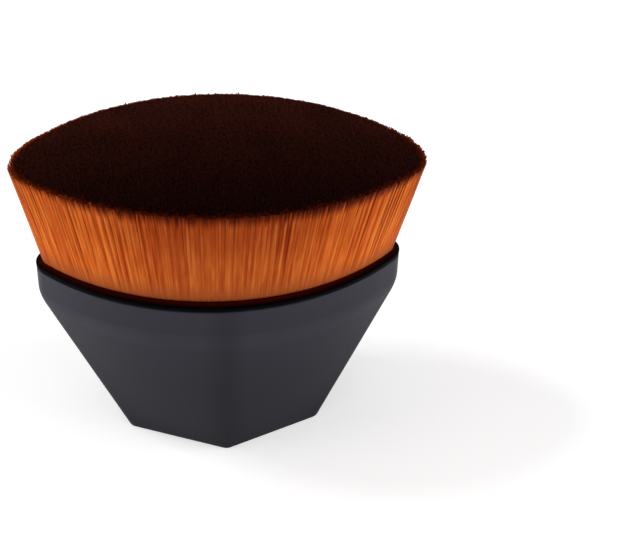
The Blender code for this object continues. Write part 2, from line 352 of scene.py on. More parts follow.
class NodeSketch:
    """Node tree of one new material, with a Principled shader wired to its output."""

    def __init__(self, name: str) -> None:
        """Starts the material with nothing but the shader and the output."""
        self.material = bpy.data.materials.new(name)
        self.material.use_nodes = True
        self.tree = self.material.node_tree
        self.tree.nodes.clear()
        self.output = self.tree.nodes.new("ShaderNodeOutputMaterial")
        self.shader = self.add("ShaderNodeBsdfPrincipled")
        self.tree.links.new(self.shader.outputs[0], self.output.inputs["Surface"])

    def add(self, kind: str, inputs: dict[Any, Any] | None = None, **settings: Any) -> bpy.types.Node:
        """Adds one node.

        Args:
            kind: Blender's name for the node.
            inputs: a socket of another node, or a plain value, for each input by name or place.
            **settings: properties of the node.

        Returns:
            The new node.
        """
        node = self.tree.nodes.new(kind)
        for name, value in settings.items():
            setattr(node, name, value)
        self.feed(node, inputs or {})
        return node

    def feed(self, node: bpy.types.Node, inputs: dict[Any, Any]) -> None:
        """Links or sets inputs of a node, by socket name or place."""
        for name, value in inputs.items():
            if isinstance(value, bpy.types.NodeSocket):
                self.tree.links.new(value, node.inputs[name])
            else:
                node.inputs[name].default_value = value

    def finished(self, inputs: dict[Any, Any]) -> bpy.types.Material:
        """Feeds the shader and hands over the material."""
        self.feed(self.shader, inputs)
        return self.material

    def attribute(self, name: str, output: str = "Fac") -> Socket:
        """Number, or Vector, that the mesh carries on its points under a name."""
        return self.add("ShaderNodeAttribute", attribute_name=name).outputs[output]

    def place(self) -> Socket:
        """Object coordinates, which are metres on these pieces."""
        return self.add("ShaderNodeTexCoord").outputs["Object"]

    def axis(self, name: str) -> Socket:
        """The X, Y or Z of the object coordinates."""
        return self.add("ShaderNodeSeparateXYZ", {0: self.place()}).outputs[name]

    def sideways(self) -> Socket:
        """Distance from the middle of the brush along X."""
        return self.sums("ABSOLUTE", self.axis("X"), 0.0)

    def noise(self, pitch: float, detail: float, stretch: tuple[float, float, float] = (1, 1, 1),
              place: Socket | None = None) -> Socket:
        """Noise over the piece.

        Args:
            pitch: rough size of its blotches in metres.
            detail: how many finer layers it has.
            stretch: scale along each axis, below 1 to lengthen the blotches.
            place: where it is read, the object coordinates if none.

        Returns:
            The socket of its value, about 0 to 1.
        """
        scaled = self.add("ShaderNodeMapping", {
            "Vector": place or self.place(), "Scale": stretch,
        })
        return self.add("ShaderNodeTexNoise", {
            "Vector": scaled.outputs[0], "Scale": 1 / pitch, "Detail": detail,
            "Roughness": NOISE_ROUGHNESS,
        }).outputs[0]

    def between(self, value: Socket, low: float, high: float,
                to_low: float = 0.0, to_high: float = 1.0) -> Socket:
        """Value carried from one range to another, and held at its ends."""
        return self.add("ShaderNodeMapRange", {
            "Value": value, "From Min": low, "From Max": high, "To Min": to_low, "To Max": to_high,
        }).outputs[0]

    def sums(self, kind: str, first: Any, second: Any) -> Socket:
        """One sum of two numbers, such as ADD or MULTIPLY."""
        return self.add("ShaderNodeMath", {0: first, 1: second}, operation=kind).outputs[0]

    def blend(self, share: Any, first: Any, second: Any, kind: str = "MIX") -> Socket:
        """Two colours blended by a share, each a socket or a plain colour."""
        node = self.add("ShaderNodeMix", {"Factor": share}, data_type="RGBA", blend_type=kind)
        for spot, colour in ((6, first), (7, second)):
            self.feed(node, {spot: (*colour, 1) if isinstance(colour, tuple) else colour})
        return node.outputs[2]

    def ramp(self, value: Socket, stops: tuple[tuple[float, Colour], ...]) -> Socket:
        """Colour read off a row of stops, each a place from 0 to 1 and a colour."""
        node = self.add("ShaderNodeValToRGB", {"Fac": value})
        row = node.color_ramp.elements
        while len(row) < len(stops):
            row.new(0.5)
        for stop, (at, colour) in zip(row, stops):
            stop.position = at
            stop.color = (*colour, 1)
        return node.outputs["Color"]

    def bump(self, height: Socket, depth: float) -> Socket:
        """Normal that stands for a relief of some depth in metres."""
        return self.add("ShaderNodeBump", {"Height": height, "Distance": depth}).outputs[0]


@dataclass(frozen=True)
class SoftTouchPlastic:
    """Charcoal moulded plastic with a matt, faintly grained skin and clouds of paler tone.

    Its colour also carries painted light. The shares by height are (height in mm, how pale
    it is there): painted shade towards the foot and a painted highlight along the crease.
    The front and back ridges are darkened as painted shade.
    """

    name: str = "charcoal_soft_touch"
    colour: Colour = (0.0045, 0.0043, 0.0085)
    # Paler colour that the random clouds and the painted light blend towards.
    cloudy_and_lit_colour: Colour = (0.0250, 0.0243, 0.0370)
    # Painted shade towards the foot and a painted highlight along the crease, by height.
    painted_light_shares: tuple[Span, ...] = (
        (0, 0.1), (12, 0.28), (18.5, 0.6), (20.7, 1.3), (21.9, 0.6), (26, 0.85),
    )
    # Painted shade along the front and back ridges.
    ridge_shade_span: Span = (0.6 * MM, 3.4 * MM)
    ridge_shade_tone: Colour = (0.6, 0.6, 0.67)
    cloud_pitch: float = 7 * MM
    cloud_detail: float = 3
    cloud_span: Span = (0.3, 0.7)
    cloud_share: float = 0.25
    roughness_span: Span = (0.5, 0.6)
    grain_pitch: float = 0.16 * MM
    grain_detail: float = 2
    grain_depth: float = 0.004 * MM
    specular: float = 0.26

    def material(self) -> bpy.types.Material:
        """Builds the finish: painted light by height, random paler clouds, painted shade on the
        ridges, uneven gloss and a fine grain.
        """
        sketch = NodeSketch(self.name)
        clouds = sketch.noise(self.cloud_pitch, self.cloud_detail)
        grain = sketch.noise(self.grain_pitch, self.grain_detail)
        top = self.painted_light_shares[-1][0]
        # Painted light by height: shade towards the foot, a highlight along the crease.
        painted_light = sketch.ramp(sketch.between(sketch.axis("Z"), 0, top * MM), tuple(
            (at / top, (share, share, share)) for at, share in self.painted_light_shares
        ))
        lit_and_cloudy = sketch.sums(
            "ADD", painted_light, sketch.between(clouds, *self.cloud_span, 0, self.cloud_share)
        )
        colour = sketch.blend(lit_and_cloudy, self.colour, self.cloudy_and_lit_colour)
        # Painted shade on the front and back ridges.
        ridge_shade = sketch.between(sketch.sideways(), *self.ridge_shade_span, 1, 0)
        return sketch.finished({
            "Base Color": sketch.blend(ridge_shade, colour, self.ridge_shade_tone, "MULTIPLY"),
            "Roughness": sketch.between(clouds, *self.cloud_span, *self.roughness_span),
            "Normal": sketch.bump(grain, self.grain_depth),
            "Specular IOR Level": self.specular,
        })


@dataclass(frozen=True)
class GlossBlackPlastic:
    """Black plastic with a smooth, lightly hazed gloss, and a painted reflection of the fibres on its
    brim.
    """

    name: str = "gloss_black"
    colour: Colour = (0.001, 0.001, 0.0012)
    # Painted reflection of the copper fibres on the brim.
    fibre_reflection_colour: Colour = (0.13, 0.009, 0.0)
    haze_pitch: float = 1.5 * MM
    haze_detail: float = 3
    haze_span: Span = (0.3, 0.75)
    roughness_span: Span = (0.35, 0.47)
    specular: float = 0.015

    def material(self) -> bpy.types.Material:
        """Builds the finish: near black and unevenly glossy, browned by the square of the painted
        fibre reflection.
        """
        sketch = NodeSketch(self.name)
        haze = sketch.noise(self.haze_pitch, self.haze_detail)
        # Share of the painted reflection of the fibres, strongest on the brim next to them.
        reflected_fibres = sketch.attribute("fibre_reflection_share")
        squared = sketch.sums("MULTIPLY", reflected_fibres, reflected_fibres)
        return sketch.finished({
            "Base Color": sketch.blend(squared, self.colour, self.fibre_reflection_colour),
            "Roughness": sketch.between(haze, *self.haze_span, *self.roughness_span),
            "Specular IOR Level": self.specular,
        })


@dataclass(frozen=True)
class CastResin:
    """Amber potting resin with cloudy swirls."""

    name: str = "amber_resin"
    clear: Colour = (0.30, 0.14, 0.035)
    cloudy: Colour = (0.42, 0.25, 0.09)
    swirl_pitch: float = 2.2 * MM
    swirl_detail: float = 4
    colour_span: Span = (0.35, 0.65)
    gloss_span: Span = (0.3, 0.7)
    roughness_span: Span = (0.2, 0.3)

    def material(self) -> bpy.types.Material:
        """Builds the finish: two ambers blended by slow swirls under a smooth skin."""
        sketch = NodeSketch(self.name)
        swirl = sketch.noise(self.swirl_pitch, self.swirl_detail)
        share = sketch.between(swirl, *self.colour_span)
        return sketch.finished({
            "Base Color": sketch.blend(share, self.clear, self.cloudy),
            "Roughness": sketch.between(swirl, *self.gloss_span, *self.roughness_span),
        })


@dataclass(frozen=True)
class SetAdhesive:
    """Cloudy set adhesive with a slightly lumpy skin."""

    name: str = "cloudy_adhesive"
    colour: Colour = (0.66, 0.62, 0.5)
    thick_colour: Colour = (0.78, 0.74, 0.62)
    lump_pitch: float = 0.9 * MM
    lump_detail: float = 3
    colour_span: Span = (0.35, 0.65)
    lump_depth: float = 0.05 * MM
    roughness: float = 0.35

    def material(self) -> bpy.types.Material:
        """Builds the finish: off-white that clouds where it is thick, with low lumps."""
        sketch = NodeSketch(self.name)
        lumps = sketch.noise(self.lump_pitch, self.lump_detail)
        share = sketch.between(lumps, *self.colour_span)
        return sketch.finished({
            "Base Color": sketch.blend(share, self.colour, self.thick_colour),
            "Roughness": self.roughness,
            "Normal": sketch.bump(lumps, self.lump_depth),
        })


@dataclass(frozen=True)
class BoundRoots:
    """Fibre roots bound in hardened glue, dark and lumpy."""

    name: str = "bound_roots"
    glue: Colour = (0.02, 0.006, 0.004)
    fibre: Colour = (0.06, 0.016, 0.006)
    fibre_pitch: float = 0.14 * MM
    cell_span: Span = (0.2, 0.6)
    lump_depth: float = 0.06 * MM
    roughness: float = 0.5

    def material(self) -> bpy.types.Material:
        """Builds the finish: cut fibres as fine cells in the darker glue round them."""
        sketch = NodeSketch(self.name)
        cells = sketch.add("ShaderNodeTexVoronoi", {
            "Vector": sketch.place(), "Scale": 1 / self.fibre_pitch,
        }).outputs["Distance"]
        share = sketch.between(cells, *self.cell_span)
        return sketch.finished({
            "Base Color": sketch.blend(share, self.fibre, self.glue),
            "Roughness": self.roughness,
            "Normal": sketch.bump(cells, self.lump_depth),
        })


@dataclass(frozen=True)
class DippedFibre:
    """Copper synthetic fibre whose tips are dipped dark and whose roots are wetted by glue.

    The roots' dark colour is partly the glue and partly painted shade.

    The strands carry three numbers: strand_tint, dip_share and root_share. The last two pass
    from 0 to 1 over the edge of the dip and of the glue, and run on past both, so spans of
    them are places along the strand. They also carry strand_place, the x and y of their foot
    with the height of each point, so that streaks read there follow them.
    """

    name: str = "dipped_fibre"
    deep_copper: Colour = (0.40, 0.045, 0.006)
    copper: Colour = (0.635, 0.118, 0.0172)
    bright_copper: Colour = (0.82, 0.225, 0.042)
    streak_pitch: float = 0.42 * MM
    streak_detail: float = 1
    streak_stretch: float = 0.08
    streak_span: Span = (0.3, 0.7)
    streak_shares: Span = (-0.2, 0.2)
    # Painted light: the copper is paler towards the head's ends.
    lit_end_span: Span = (8 * MM, 18 * MM)
    end_light_tone: Colour = (1.17, 1.20, 0.97)
    near_dip_tone: Colour = (0.78, 0.65, 0.60)
    near_dip_span: Span = (-2.8, -0.4)
    near_dip_shares: Span = (1, 0.35)
    # Painted shade at the base of the head.
    root_shade_colour: Colour = (0.46, 0.104, 0.028)
    root_shade_span: Span = (-3.3, 0)
    root_shade_share: float = 0.85
    # Glue-wetted root colour, which also stands for painted shade at the base of the head.
    glued_and_shaded: Colour = (0.04, 0.002, 0.0)
    red_dip: Colour = (0.17, 0.019, 0.0025)
    red_span: Span = (0, 0.5)
    dip: Colour = (0.010, 0.0014, 0.0008)
    dip_span: Span = (0.5, 0.92)
    # Painted light on the dip towards the back of the head.
    back_lit_dip: Colour = (0.052, 0.0085, 0.0037)
    back_light_reach: float = 17.5 * MM
    back_light_share: float = 0.95
    back_light_tints: Span = (0.25, 0.75)
    back_light_factors: Span = (0.35, 1.35)
    roughness: float = 0.5
    specular: float = 0.02

    def material(self) -> bpy.types.Material:
        """Builds the finish.

        The glue-wetted root, darkened further as painted shade, is laid over the copper, and then
        the dip, which goes through red to near black. Towards the back of the head the dip is
        paler and more mottled, a painted light where the back of the crown catches the lamps.
        """
        sketch = NodeSketch(self.name)
        tint = sketch.attribute("strand_tint")
        dip_share = sketch.attribute("dip_share")
        root_share = sketch.attribute("root_share")
        copper = self.copper_colour(sketch, tint, dip_share, root_share)
        # Painted light: the dip is paler and mottled towards the back of the head.
        backwards = sketch.between(
            sketch.axis("Y"), -self.back_light_reach, self.back_light_reach, 0, self.back_light_share
        )
        mottle = sketch.between(tint, *self.back_light_tints, *self.back_light_factors)
        back_light = sketch.sums("MULTIPLY", backwards, mottle)
        dip = sketch.blend(back_light, self.dip, self.back_lit_dip)
        # Glue-wetted roots, darkened further as painted shade.
        rooted = sketch.blend(root_share, copper, self.glued_and_shaded)
        reddened = sketch.blend(sketch.between(dip_share, *self.red_span), rooted, self.red_dip)
        return sketch.finished({
            "Base Color": sketch.blend(sketch.between(dip_share, *self.dip_span), reddened, dip),
            "Roughness": self.roughness,
            "Specular IOR Level": self.specular,
        })

    def copper_colour(self, sketch: NodeSketch, tint: Socket, dip_share: Socket,
                      root_share: Socket) -> Socket:
        """Colours the strands between their roots and their dip.

        The copper comes from each strand's own tint, shaded by streaks that run along the
        strands. It is paler at the head's ends, a painted light where they catch the side lamps,
        redder near the dip, and darker and duller near the root, a painted shade at the base of
        the head.

        Args:
            sketch: the material's nodes.
            tint: the strand's tint.
            dip_share: how far into the dip a place lies.
            root_share: how far into the glue it lies.

        Returns:
            The socket of the colour.
        """
        streak = sketch.noise(
            self.streak_pitch, self.streak_detail, (1, 1, self.streak_stretch),
            sketch.attribute("strand_place", "Vector"),
        )
        streak = sketch.between(streak, *self.streak_span, *self.streak_shares)
        shade = sketch.sums("ADD", tint, streak)
        copper = sketch.ramp(shade, (
            (0.0, self.deep_copper), (0.5, self.copper), (1.0, self.bright_copper),
        ))
        sideways = sketch.sideways()
        # Painted light towards the head's ends.
        at_end = sketch.between(sideways, *self.lit_end_span)
        copper = sketch.blend(at_end, copper, self.end_light_tone, "MULTIPLY")
        near_dip = sketch.sums(
            "MULTIPLY", sketch.between(dip_share, *self.near_dip_span),
            sketch.between(sideways, *self.lit_end_span, *self.near_dip_shares),
        )
        copper = sketch.blend(near_dip, copper, self.near_dip_tone, "MULTIPLY")
        # Painted shade: darker, duller copper towards the base of the head.
        near_root = sketch.between(root_share, *self.root_shade_span, 0, self.root_shade_share)
        return sketch.blend(near_root, copper, self.root_shade_colour)


@dataclass(frozen=True)
class StudioFloor:
    """White sweep that the camera sees as white, with the brush's soft shadow on it."""

    name: str = "white_sweep"
    albedo: float = 0.8
    roughness: float = 0.9
    shadow_depth: float = 0.7
    mirror_depth: float = 1.1
    open_light: float = 0.75
    fade_span: Span = (0.3, 0.8)

    def material(self) -> bpy.types.Material:
        """Builds the floor.

        Light bounces off plain white paint. What the camera and mirrors see is paint of
        another strength with a glow added, set so that the open floor adds up to white.
        Mirrors see the full shadow, the camera a weaker one. Both fade out far from the
        brush, where the lamps don't reach.
        """
        sketch = NodeSketch(self.name)
        sketch.feed(sketch.shader, {
            "Base Color": (self.albedo, self.albedo, self.albedo, 1),
            "Roughness": self.roughness, "Specular IOR Level": 0.0,
        })
        rays = sketch.add("ShaderNodeLightPath").outputs
        strength = sketch.between(
            rays["Is Camera Ray"], 0, 1, self.mirror_depth, self.shadow_depth
        )
        away = sketch.add("ShaderNodeVectorMath", {0: sketch.place()}, operation="LENGTH")
        near = sketch.between(away.outputs["Value"], *self.fade_span, 1, 0)
        depth = sketch.sums("MULTIPLY", strength, near)
        seen_paint = sketch.add("ShaderNodeBsdfDiffuse", {"Color": depth})
        filled = sketch.sums("MULTIPLY", depth, self.open_light)
        glow = sketch.add("ShaderNodeEmission", {"Strength": sketch.sums("SUBTRACT", 1.0, filled)})
        seen = sketch.add("ShaderNodeAddShader", {0: seen_paint.outputs[0], 1: glow.outputs[0]})
        in_mirrors = sketch.sums("MAXIMUM", rays["Is Glossy Ray"], rays["Is Transmission Ray"])
        mixed = sketch.add("ShaderNodeMixShader", {
            0: sketch.sums("MAXIMUM", rays["Is Camera Ray"], in_mirrors),
            1: sketch.shader.outputs[0], 2: seen.outputs[0],
        })
        sketch.tree.links.new(mixed.outputs[0], sketch.output.inputs["Surface"])
        return sketch.material


# Handle and cup


@dataclass(frozen=True)
class HandleForm:
    """Sizes that the shell, the cup and the bristles share.

    They are the CAD model's, but for the ends of the mouth, which are a little rounder. Each
    quarter of the two outlines has four stretches: steps says how many points each gets, and
    stretch_ends where they meet, as shares of the way along the petal.
    """

    gap: float = 0.3 * MM
    mouth: Petal = Petal(27.5 * MM, 13.9 * MM, 3.7 * MM)
    foot: Hexagon = Hexagon(14.8 * MM, 8.3 * MM, 14.85 * MM, 1.4 * MM, 0.8 * MM)
    shell_height: float = 25.9 * MM
    crease_height: float = 21.05 * MM
    crease_blend: float = 1.3 * MM
    flange_thickness: float = 0.5 * MM
    cup_depth: float = 8.0 * MM
    lip_wall: float = 0.8 * MM
    cup_wall: float = 0.6 * MM
    steps: tuple[int, int, int, int] = (8, 44, 16, 8)
    stretch_ends: tuple[float, ...] = (0, 0.035, 0.9, 0.975, 1)
    wall_pitch: float = 0.9 * MM
    crease_levels: int = 17
    least_step: float = 0.05 * MM

    @property
    def flange_underside(self) -> float:
        """Height of the flange's lower face."""
        return self.shell_height + self.gap

    @property
    def flange_top(self) -> float:
        """Height of the flange's upper face."""
        return self.flange_underside + self.flange_thickness

    @property
    def cup_underside(self) -> float:
        """Height of the outside of the cup's floor."""
        return self.flange_top - self.cup_depth

    @property
    def cup_outside(self) -> float:
        """Inset of the cup's outside from the outside of the handle."""
        return self.lip_wall + self.gap

    @property
    def cup_inside(self) -> float:
        """Inset of the cup's inside from the outside of the handle."""
        return self.cup_outside + self.cup_wall

    def petal_shares(self) -> np.ndarray:
        """Shares along a quarter of the petal that match the hexagon's points one to one."""
        ends = zip(self.steps, self.stretch_ends, self.stretch_ends[1:])
        return np.concatenate([[0.0]] + [np.linspace(a, b, n + 1)[1:] for n, a, b in ends])

    def rise_share(self, height: float) -> float:
        """Says how far a section has changed from the hexagon to the petal.

        It grows evenly up the facets and is rounded over, as a parabola, into the band.

        Args:
            height: height of the section.

        Returns:
            A share, 0 at the foot and 1 in the band.
        """
        top = self.crease_height + self.crease_blend
        if height >= top:
            return 1.0
        if height <= self.crease_height - self.crease_blend:
            return height / self.crease_height
        return 1 - (top - height) ** 2 / (4 * self.crease_blend * self.crease_height)

    def section(self, height: float, inset: float) -> np.ndarray:
        """Builds the ring of points at a height.

        The foot's hexagon and the mouth's petal are blended point by point by rise_share,
        and the front right quarter is mirrored into the other three.

        Args:
            height: height of the section.
            inset: how far it is drawn in from the outside of the handle.

        Returns:
            An array of (x, y, z) points, counter-clockwise from the front middle.
        """
        share = self.rise_share(height)
        foot = self.foot.quarter(self.steps, inset)
        petal = self.mouth.quarter(self.petal_shares(), inset)
        quarter = (1 - share) * foot + share * petal
        outline = np.vstack([
            quarter[:-1],
            (quarter[::-1] * (1, -1))[:-1],
            (quarter * (-1, -1))[:-1],
            (quarter[::-1] * (-1, 1))[:-1],
        ])
        return np.column_stack([outline, np.full(len(outline), height)])

    def rings(self, levels: Levels) -> np.ndarray:
        """Sections at (height, inset) levels, stacked."""
        return np.stack([self.section(height, inset) for height, inset in levels])

    def rounding(self, centre: Span, radius: float, sweep: Span, steps: int) -> Levels:
        """Levels of a rounded edge.

        Args:
            centre: height and inset of the rounding's centre.
            radius: radius of the rounding.
            sweep: first and last angle in degrees, 0 straight outwards and 90 straight up.
            steps: how many steps it has.

        Returns:
            A list of (height, inset) pairs on the arc.
        """
        angle = np.radians(np.linspace(*sweep, steps + 1))
        heights = centre[0] + radius * np.sin(angle)
        insets = centre[1] - radius * np.cos(angle)
        return list(zip(heights.tolist(), insets.tolist()))

    def wall(self, low: float, high: float, inset: float, pitch: float) -> Levels:
        """Levels of a wall that keeps one inset.

        Args:
            low: lowest height.
            high: highest height.
            inset: the wall's inset.
            pitch: how far apart the levels are. Over the crease they are closer.

        Returns:
            A list of (height, inset) pairs from low to high.
        """
        below = self.crease_height - self.crease_blend
        above = self.crease_height + self.crease_blend
        even = np.arange(low, high, pitch)
        crease = np.linspace(below, above, self.crease_levels)
        heights = np.unique(np.concatenate([even[(even < below) | (even > above)], crease]))
        apart = (heights > low + self.least_step) & (heights < high - self.least_step)
        return [(height, inset) for height in (low, *heights[apart].tolist(), high)]


@dataclass(frozen=True)
class HandleShell:
    """Hollow moulded handle: a flat six-sided foot, facets, a crease and a petal mouth."""

    form: HandleForm
    finish: SoftTouchPlastic = SoftTouchPlastic()
    wall_thickness: float = 1.6 * MM
    floor_thickness: float = 2.0 * MM
    foot_round: float = 0.3 * MM
    foot_steps: int = 6
    inner_fillet: float = 0.8 * MM
    lip_round: float = 0.2 * MM
    edge_steps: int = 4
    inner_pitch: float = 2 * MM

    def levels(self) -> Levels:
        """Levels up the outside, over the rounded lip and down the stepped inside."""
        form, foot, lip, steps = self.form, self.foot_round, self.lip_round, self.edge_steps
        shoulder = form.cup_underside - form.gap
        inner_floor = self.floor_thickness + self.inner_fillet
        fillet_inset = self.wall_thickness + self.inner_fillet
        rim = form.shell_height - lip
        levels = form.rounding((foot, foot), foot, (-90, 0), self.foot_steps)
        levels += form.wall(foot, rim, 0, form.wall_pitch)[1:]
        levels += form.rounding((rim, lip), lip, (0, 90), steps)[1:]
        levels += form.rounding((rim, form.lip_wall - lip), lip, (90, 180), steps)
        levels += form.wall(shoulder, rim, form.lip_wall, form.wall_pitch)[-2::-1]
        levels += form.wall(inner_floor, shoulder, self.wall_thickness, self.inner_pitch)[::-1]
        fillet = form.rounding((inner_floor, fillet_inset), self.inner_fillet, (0, -90), steps)
        return levels + fillet[1:]

    def build(self) -> None:
        """Builds the shell and stands it in for the CAD one."""
        rings = self.form.rings(self.levels())
        shell = lofted_piece("handle_body", rings, self.finish.material())
        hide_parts("handle_shell")


@dataclass(frozen=True)
class BristleCup:
    """Thin-walled cup that nests in the shell's lip and stands on it with a narrow flange."""

    form: HandleForm
    finish: GlossBlackPlastic = GlossBlackPlastic()
    floor_thickness: float = 0.8 * MM
    chamfer: float = 0.3 * MM
    overhang: float = 0.03 * MM
    flange_round: float = 0.15 * MM
    edge_steps: int = 5

    def levels(self) -> Levels:
        """Levels up the outside, round the flange and down the inside to the floor."""
        form, base = self.form, self.form.cup_underside
        low = form.flange_underside + self.flange_round
        high = form.flange_top - self.flange_round
        edge = self.flange_round - self.overhang
        brim = form.cup_inside - self.flange_round
        levels = [(base, form.cup_outside + self.chamfer)]
        levels += form.wall(
            base + self.chamfer, form.flange_underside, form.cup_outside, form.wall_pitch
        )
        for centre, start in (((low, edge), -90), ((high, edge), 0), ((high, brim), 90)):
            levels += form.rounding(
                centre, self.flange_round, (start, start + 90), self.edge_steps
            )
        inside = form.wall(base + self.floor_thickness, high, form.cup_inside, form.wall_pitch)
        return levels + inside[-2::-1]

    def build(self) -> None:
        """Builds the cup, with the share of the painted fibre reflection on its brim, and replaces
        the CAD one.
        """
        levels = self.levels()
        rings = self.form.rings(levels)
        cup = lofted_piece("cup_with_flange", rings, self.finish.material())
        height, inset = np.array(levels).T
        on_top = height > self.form.flange_top - self.flange_round
        # Share of the painted fibre reflection: rises across the flange's top towards the fibres.
        reflected_fibres = np.where(on_top, np.clip(inset / self.form.cup_inside, 0, 1), 0)
        carry(cup.data, "fibre_reflection_share", np.repeat(reflected_fibres, rings.shape[1]))
        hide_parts("bristle_cup")


# Bristles


@dataclass(frozen=True)
class RootBundle:
    """Solid bundle of glued fibre roots that fills the cup up to its mouth."""

    form: HandleForm
    finish: BoundRoots = BoundRoots()
    clearance: float = 0.3 * MM
    underside: float = 23.4 * MM
    top: float = 26.4 * MM
    edge_round: float = 0.5 * MM
    edge_steps: int = 5

    def build(self) -> None:
        """Builds the bundle as one of the pieces that stand for the CAD tuft."""
        inset = self.form.cup_inside + self.clearance
        centre = (self.top - self.edge_round, inset + self.edge_round)
        levels = [(self.underside, inset)]
        levels += self.form.rounding(centre, self.edge_round, (0, 90), self.edge_steps)
        rings = self.form.rings(levels)
        bundle = lofted_piece("root_bundle", rings, self.finish.material())
        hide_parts("bristle_tuft")


@dataclass(frozen=True)
class StrandKind:
    """Shape that a group of strands share.

    Flatness is a strand's thickness over its width, 1 if it is round. Its path has points at
    spread_levels, which are heights over the flange's top, and at level_shares of its length.
    """

    sides: int
    radius: float
    flatness: float
    spread_levels: tuple[float, ...]
    level_shares: tuple[float, ...]


@dataclass(frozen=True)
class StrandSet:
    """Strands of one kind as arrays: paths, thickness, headings and the numbers they carry."""

    kind: StrandKind
    paths: np.ndarray
    radii: np.ndarray
    turns: np.ndarray
    tint: np.ndarray
    dip: np.ndarray
    root: np.ndarray

    def chosen(self, pick: np.ndarray | slice) -> "StrandSet":
        """The strands that a mask or a slice picks."""
        every = (self.paths, self.radii, self.turns, self.tint, self.dip, self.root)
        return StrandSet(self.kind, *(values[pick] for values in every))


@dataclass(frozen=True)
class StrandMesher:
    """Turns strands into closed prisms with a bake map of one cell for each strand.

    A cell is cell_slimness times as tall as wide. Margins lie round it, and each end of a
    strand gets cap_share of its height, which the end's polygon fills by twice cap_fill.
    """

    cell_slimness: float = 4
    margin: float = 0.1
    cap_share: float = 0.1
    cap_fill: float = 0.45

    def rings(self, strands: StrandSet) -> np.ndarray:
        """Builds the corners of every strand.

        Round each path point the corners lie at equal steps on a level circle, whose radius
        is the strand's there. The circle is pressed flat by the flatness across the strand's
        own heading.

        Args:
            strands: the strands.

        Returns:
            An array of shape (strands, levels, sides, 3).
        """
        sides = strands.kind.sides
        angle = np.arange(sides) * TURN / sides
        wide, thin = np.cos(angle), strands.kind.flatness * np.sin(angle)
        along, across = np.cos(strands.turns)[:, None], np.sin(strands.turns)[:, None]
        circle = np.stack([along * wide - across * thin, across * wide + along * thin], axis=-1)
        rings = np.repeat(strands.paths[:, :, None], sides, axis=2)
        rings[..., :2] += strands.radii[:, :, None, None] * circle[:, None]
        return rings

    def bake_places(self, count: int, levels: int, sides: int
                    ) -> tuple[np.ndarray, np.ndarray, np.ndarray]:
        """Lays the strands out side by side on the bake map.

        The map is cut into equal upright cells, one for each strand. Its sides lie unrolled
        in the cell, the ends take small regular polygons above and below them.

        Args:
            count: how many strands there are.
            levels: how many points each path has.
            sides: how many sides a strand has.

        Returns:
            Map places of the side faces' corners (strands, levels - 1, sides, 4, 2), of the
            tip's corners and of the foot's corners (strands, sides, 2).
        """
        rows = max(1, round(math.sqrt(count / self.cell_slimness)))
        columns = math.ceil(count / rows)
        cell = np.array([1 / columns, 1 / rows])
        index = np.arange(count)
        corner = np.stack([index % columns, index // columns], axis=1)[:, None] * cell
        ends = self.margin + self.cap_share
        across = np.linspace(self.margin, 1 - self.margin, sides + 1)
        along = np.linspace(ends, 1 - ends, levels)
        side, span = np.arange(sides)[:, None], np.arange(levels - 1)[:, None, None]
        unrolled = np.stack(np.broadcast_arrays(
            across[side + QUAD_RIGHT], along[span + QUAD_UP]
        ), axis=-1)
        angle = np.arange(sides) * TURN / sides
        disc = np.stack([np.cos(angle), np.sin(angle)], axis=1)
        disc *= (0.5 - self.margin, self.cap_share * self.cap_fill)
        middle = self.margin + self.cap_share / 2
        tips = corner + cell * ((0.5, 1 - middle) + disc)
        feet = corner + cell * ((0.5, middle) + disc)
        return corner[:, None, None] + cell * unrolled, tips, feet

    def mesh(self, name: str, strands: StrandSet, material: bpy.types.Material) -> bpy.types.Mesh:
        """Writes the prisms into a mesh.

        Side s of span l joins corners s and s + 1 of level l to those of level l + 1, the
        tip is closed by its ring and the foot by its ring the other way round.

        Args:
            name: the mesh's name.
            strands: the strands.
            material: the finish.

        Returns:
            The mesh, with its map and the numbers that the finish reads.
        """
        rings = self.rings(strands)
        count, levels, sides = rings.shape[:3]
        first = np.arange(count)[:, None] * levels * sides
        side, span = np.arange(sides)[:, None], np.arange(levels - 1)[:, None, None]
        quads = first[..., None, None] + (span + QUAD_UP) * sides + (side + QUAD_RIGHT) % sides
        tips = first + (levels - 1) * sides + np.arange(sides)
        feet = first + np.arange(sides)[::-1]
        side_map, tip_map, foot_map = self.bake_places(count, levels, sides)
        corners = np.concatenate([part.ravel() for part in (quads, tips, feet)])
        places = np.concatenate([
            part.reshape(-1, 2) for part in (side_map, tip_map, foot_map[:, ::-1])
        ])
        sizes = np.repeat([4, sides], [quads.size // 4, 2 * count])
        mesh = bpy.data.meshes.new(name)
        mesh.vertices.add(rings.size // 3)
        mesh.vertices.foreach_set("co", rings.astype(np.float32).ravel())
        mesh.loops.add(len(corners))
        mesh.loops.foreach_set("vertex_index", corners.astype(np.int32))
        mesh.polygons.add(len(sizes))
        mesh.polygons.foreach_set("loop_start", (np.cumsum(sizes) - sizes).astype(np.int32))
        mesh.update(calc_edges=True)
        layer = mesh.uv_layers.new(name=BAKE_MAP)
        layer.uv.foreach_set("vector", places.astype(np.float32).ravel())
        standing = np.repeat(strands.paths, sides, axis=1)
        standing[..., :2] = strands.paths[:, :1, :2]
        carry(mesh, "strand_place", standing)
        carry(mesh, "strand_tint", np.repeat(strands.tint, levels * sides))
        carry(mesh, "dip_share", np.repeat(strands.dip, sides))
        carry(mesh, "root_share", np.repeat(strands.root, sides))
        mesh.materials.append(material)
        if strands.kind.flatness < 1:
            mesh.shade_flat()
        else:
            mesh.shade_smooth()
        return mesh


